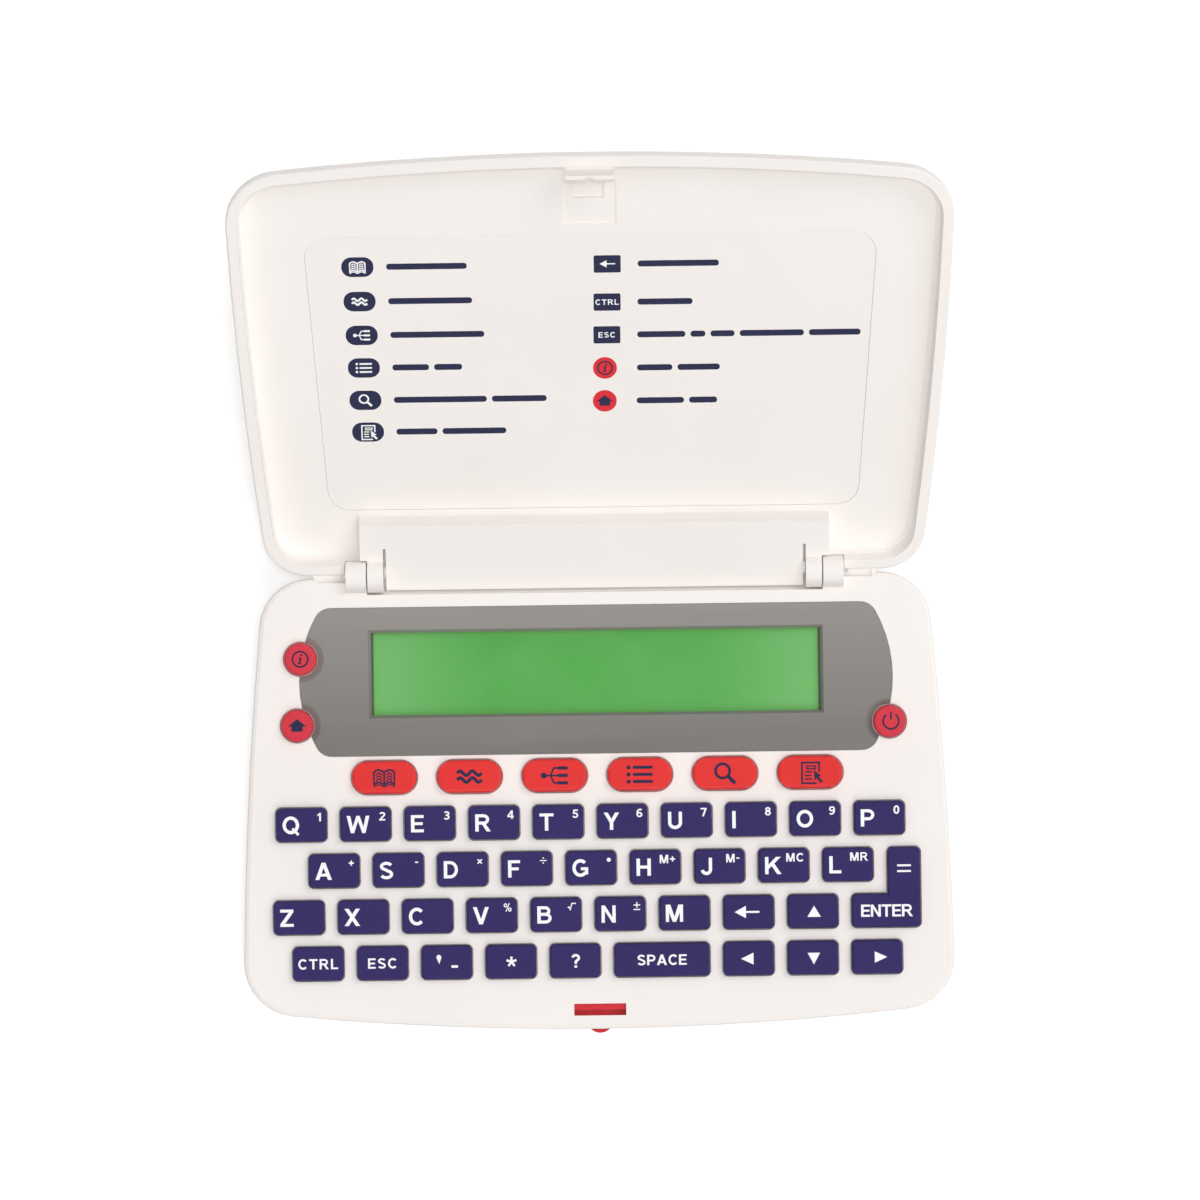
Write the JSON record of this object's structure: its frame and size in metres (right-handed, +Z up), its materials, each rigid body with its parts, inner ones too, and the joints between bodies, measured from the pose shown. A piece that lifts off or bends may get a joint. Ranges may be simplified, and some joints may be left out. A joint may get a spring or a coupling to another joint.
{
  "type": "electronic dictionary",
  "caption": "Pocket electronic dictionary: clamshell base with keyboard, green display and sprung latch, under a hinged lid with a legend card.",
  "frame": {"origin": "middle of the flat underside of the base, on the table", "axes": "+X to the right along the hinge, +Y from the front edge to the hinge and lid, +Z up"},
  "size_m": [0.126, 0.154, 0.0486],
  "materials": {
    "shell": "fine satin moulded",
    "card": "printed sheet",
    "key": "satin moulded, white print",
    "oval_button": "semi-gloss moulded, dark print",
    "round_button": "soft matt, dark print",
    "latch": "semi-gloss moulded",
    "bezel": "fine satin moulded",
    "window": "clear acrylic",
    "display": "liquid crystal glass, blank",
    "board": "solder mask",
    "key_sheet": "translucent silicone",
    "cell": "brushed nickel-plated steel",
    "screw": "nickel-plated steel"
  },
  "bodies": {
    "base": {"top_case": "shell", "bottom_case": "shell", "display_bezel": "bezel", "display_window": "window", "lcd_panel": "display", "circuit_board": "board", "keypad_membrane": "key_sheet", "coin_cells": "cell", "battery_door": "shell", "case_screws": "screw"},
    "lid": {"lid_shell": "shell", "legend_card": "card"},
    "latch": {"latch_button": "latch"},
    "button_info": {"button_info": "round_button"},
    "button_shift": {"button_shift": "round_button"},
    "button_power": {"button_power": "round_button"},
    "button_dictionary": {"button_dictionary": "oval_button"},
    "button_synonyms": {"button_synonyms": "oval_button"},
    "button_conjugation": {"button_conjugation": "oval_button"},
    "button_list": {"button_list": "oval_button"},
    "button_index": {"button_index": "oval_button"},
    "button_notes": {"button_notes": "oval_button"},
    "key_ctrl": {"key_ctrl": "key"},
    "key_esc": {"key_esc": "key"},
    "key_hyphen": {"key_hyphen": "key"},
    "key_star": {"key_star": "key"},
    "key_question": {"key_question": "key"},
    "key_space": {"key_space": "key"},
    "key_left": {"key_left": "key"},
    "key_down": {"key_down": "key"},
    "key_right": {"key_right": "key"},
    "key_z": {"key_z": "key"},
    "key_x": {"key_x": "key"},
    "key_c": {"key_c": "key"},
    "key_v": {"key_v": "key"},
    "key_b": {"key_b": "key"},
    "key_n": {"key_n": "key"},
    "key_m": {"key_m": "key"},
    "key_backspace": {"key_backspace": "key"},
    "key_up": {"key_up": "key"},
    "key_a": {"key_a": "key"},
    "key_s": {"key_s": "key"},
    "key_d": {"key_d": "key"},
    "key_f": {"key_f": "key"},
    "key_g": {"key_g": "key"},
    "key_h": {"key_h": "key"},
    "key_j": {"key_j": "key"},
    "key_k": {"key_k": "key"},
    "key_l": {"key_l": "key"},
    "key_q": {"key_q": "key"},
    "key_w": {"key_w": "key"},
    "key_e": {"key_e": "key"},
    "key_r": {"key_r": "key"},
    "key_t": {"key_t": "key"},
    "key_y": {"key_y": "key"},
    "key_u": {"key_u": "key"},
    "key_i": {"key_i": "key"},
    "key_o": {"key_o": "key"},
    "key_p": {"key_p": "key"},
    "key_enter": {"key_enter": "key"}
  },
  "joints": [
    {"name": "lid_hinge", "type": "hinge", "parent": "base", "child": "lid", "pos_m": [0, 0.0404, 0.0105], "axis": [1, 0, 0], "range_deg": [0, 152.5]},
    {"name": "latch_slide", "type": "slide", "parent": "base", "child": "latch", "axis": [0, 1, 0], "range_m": [0, 0.0008], "stiffness_N_per_m": 500},
    {"name": "button_info_press", "type": "slide", "parent": "base", "child": "button_info", "axis": [0, 0, -1], "range_m": [0, 0.0008], "stiffness_N_per_m": 500},
    {"name": "button_shift_press", "type": "slide", "parent": "base", "child": "button_shift", "axis": [0, 0, -1], "range_m": [0, 0.0008], "stiffness_N_per_m": 500},
    {"name": "button_power_press", "type": "slide", "parent": "base", "child": "button_power", "axis": [0, 0, -1], "range_m": [0, 0.0008], "stiffness_N_per_m": 500},
    {"name": "button_dictionary_press", "type": "slide", "parent": "base", "child": "button_dictionary", "axis": [0, 0, -1], "range_m": [0, 0.0008], "stiffness_N_per_m": 500},
    {"name": "button_synonyms_press", "type": "slide", "parent": "base", "child": "button_synonyms", "axis": [0, 0, -1], "range_m": [0, 0.0008], "stiffness_N_per_m": 500},
    {"name": "button_conjugation_press", "type": "slide", "parent": "base", "child": "button_conjugation", "axis": [0, 0, -1], "range_m": [0, 0.0008], "stiffness_N_per_m": 500},
    {"name": "button_list_press", "type": "slide", "parent": "base", "child": "button_list", "axis": [0, 0, -1], "range_m": [0, 0.0008], "stiffness_N_per_m": 500},
    {"name": "button_index_press", "type": "slide", "parent": "base", "child": "button_index", "axis": [0, 0, -1], "range_m": [0, 0.0008], "stiffness_N_per_m": 500},
    {"name": "button_notes_press", "type": "slide", "parent": "base", "child": "button_notes", "axis": [0, 0, -1], "range_m": [0, 0.0008], "stiffness_N_per_m": 500},
    {"name": "key_ctrl_press", "type": "slide", "parent": "base", "child": "key_ctrl", "axis": [0, 0, -1], "range_m": [0, 0.0008], "stiffness_N_per_m": 500},
    {"name": "key_esc_press", "type": "slide", "parent": "base", "child": "key_esc", "axis": [0, 0, -1], "range_m": [0, 0.0008], "stiffness_N_per_m": 500},
    {"name": "key_hyphen_press", "type": "slide", "parent": "base", "child": "key_hyphen", "axis": [0, 0, -1], "range_m": [0, 0.0008], "stiffness_N_per_m": 500},
    {"name": "key_star_press", "type": "slide", "parent": "base", "child": "key_star", "axis": [0, 0, -1], "range_m": [0, 0.0008], "stiffness_N_per_m": 500},
    {"name": "key_question_press", "type": "slide", "parent": "base", "child": "key_question", "axis": [0, 0, -1], "range_m": [0, 0.0008], "stiffness_N_per_m": 500},
    {"name": "key_space_press", "type": "slide", "parent": "base", "child": "key_space", "axis": [0, 0, -1], "range_m": [0, 0.0008], "stiffness_N_per_m": 500},
    {"name": "key_left_press", "type": "slide", "parent": "base", "child": "key_left", "axis": [0, 0, -1], "range_m": [0, 0.0008], "stiffness_N_per_m": 500},
    {"name": "key_down_press", "type": "slide", "parent": "base", "child": "key_down", "axis": [0, 0, -1], "range_m": [0, 0.0008], "stiffness_N_per_m": 500},
    {"name": "key_right_press", "type": "slide", "parent": "base", "child": "key_right", "axis": [0, 0, -1], "range_m": [0, 0.0008], "stiffness_N_per_m": 500},
    {"name": "key_z_press", "type": "slide", "parent": "base", "child": "key_z", "axis": [0, 0, -1], "range_m": [0, 0.0008], "stiffness_N_per_m": 500},
    {"name": "key_x_press", "type": "slide", "parent": "base", "child": "key_x", "axis": [0, 0, -1], "range_m": [0, 0.0008], "stiffness_N_per_m": 500},
    {"name": "key_c_press", "type": "slide", "parent": "base", "child": "key_c", "axis": [0, 0, -1], "range_m": [0, 0.0008], "stiffness_N_per_m": 500},
    {"name": "key_v_press", "type": "slide", "parent": "base", "child": "key_v", "axis": [0, 0, -1], "range_m": [0, 0.0008], "stiffness_N_per_m": 500},
    {"name": "key_b_press", "type": "slide", "parent": "base", "child": "key_b", "axis": [0, 0, -1], "range_m": [0, 0.0008], "stiffness_N_per_m": 500},
    {"name": "key_n_press", "type": "slide", "parent": "base", "child": "key_n", "axis": [0, 0, -1], "range_m": [0, 0.0008], "stiffness_N_per_m": 500},
    {"name": "key_m_press", "type": "slide", "parent": "base", "child": "key_m", "axis": [0, 0, -1], "range_m": [0, 0.0008], "stiffness_N_per_m": 500},
    {"name": "key_backspace_press", "type": "slide", "parent": "base", "child": "key_backspace", "axis": [0, 0, -1], "range_m": [0, 0.0008], "stiffness_N_per_m": 500},
    {"name": "key_up_press", "type": "slide", "parent": "base", "child": "key_up", "axis": [0, 0, -1], "range_m": [0, 0.0008], "stiffness_N_per_m": 500},
    {"name": "key_a_press", "type": "slide", "parent": "base", "child": "key_a", "axis": [0, 0, -1], "range_m": [0, 0.0008], "stiffness_N_per_m": 500},
    {"name": "key_s_press", "type": "slide", "parent": "base", "child": "key_s", "axis": [0, 0, -1], "range_m": [0, 0.0008], "stiffness_N_per_m": 500},
    {"name": "key_d_press", "type": "slide", "parent": "base", "child": "key_d", "axis": [0, 0, -1], "range_m": [0, 0.0008], "stiffness_N_per_m": 500},
    {"name": "key_f_press", "type": "slide", "parent": "base", "child": "key_f", "axis": [0, 0, -1], "range_m": [0, 0.0008], "stiffness_N_per_m": 500},
    {"name": "key_g_press", "type": "slide", "parent": "base", "child": "key_g", "axis": [0, 0, -1], "range_m": [0, 0.0008], "stiffness_N_per_m": 500},
    {"name": "key_h_press", "type": "slide", "parent": "base", "child": "key_h", "axis": [0, 0, -1], "range_m": [0, 0.0008], "stiffness_N_per_m": 500},
    {"name": "key_j_press", "type": "slide", "parent": "base", "child": "key_j", "axis": [0, 0, -1], "range_m": [0, 0.0008], "stiffness_N_per_m": 500},
    {"name": "key_k_press", "type": "slide", "parent": "base", "child": "key_k", "axis": [0, 0, -1], "range_m": [0, 0.0008], "stiffness_N_per_m": 500},
    {"name": "key_l_press", "type": "slide", "parent": "base", "child": "key_l", "axis": [0, 0, -1], "range_m": [0, 0.0008], "stiffness_N_per_m": 500},
    {"name": "key_q_press", "type": "slide", "parent": "base", "child": "key_q", "axis": [0, 0, -1], "range_m": [0, 0.0008], "stiffness_N_per_m": 500},
    {"name": "key_w_press", "type": "slide", "parent": "base", "child": "key_w", "axis": [0, 0, -1], "range_m": [0, 0.0008], "stiffness_N_per_m": 500},
    {"name": "key_e_press", "type": "slide", "parent": "base", "child": "key_e", "axis": [0, 0, -1], "range_m": [0, 0.0008], "stiffness_N_per_m": 500},
    {"name": "key_r_press", "type": "slide", "parent": "base", "child": "key_r", "axis": [0, 0, -1], "range_m": [0, 0.0008], "stiffness_N_per_m": 500},
    {"name": "key_t_press", "type": "slide", "parent": "base", "child": "key_t", "axis": [0, 0, -1], "range_m": [0, 0.0008], "stiffness_N_per_m": 500},
    {"name": "key_y_press", "type": "slide", "parent": "base", "child": "key_y", "axis": [0, 0, -1], "range_m": [0, 0.0008], "stiffness_N_per_m": 500},
    {"name": "key_u_press", "type": "slide", "parent": "base", "child": "key_u", "axis": [0, 0, -1], "range_m": [0, 0.0008], "stiffness_N_per_m": 500},
    {"name": "key_i_press", "type": "slide", "parent": "base", "child": "key_i", "axis": [0, 0, -1], "range_m": [0, 0.0008], "stiffness_N_per_m": 500},
    {"name": "key_o_press", "type": "slide", "parent": "base", "child": "key_o", "axis": [0, 0, -1], "range_m": [0, 0.0008], "stiffness_N_per_m": 500},
    {"name": "key_p_press", "type": "slide", "parent": "base", "child": "key_p", "axis": [0, 0, -1], "range_m": [0, 0.0008], "stiffness_N_per_m": 500},
    {"name": "key_enter_press", "type": "slide", "parent": "base", "child": "key_enter", "axis": [0, 0, -1], "range_m": [0, 0.0008], "stiffness_N_per_m": 500}
  ]
}
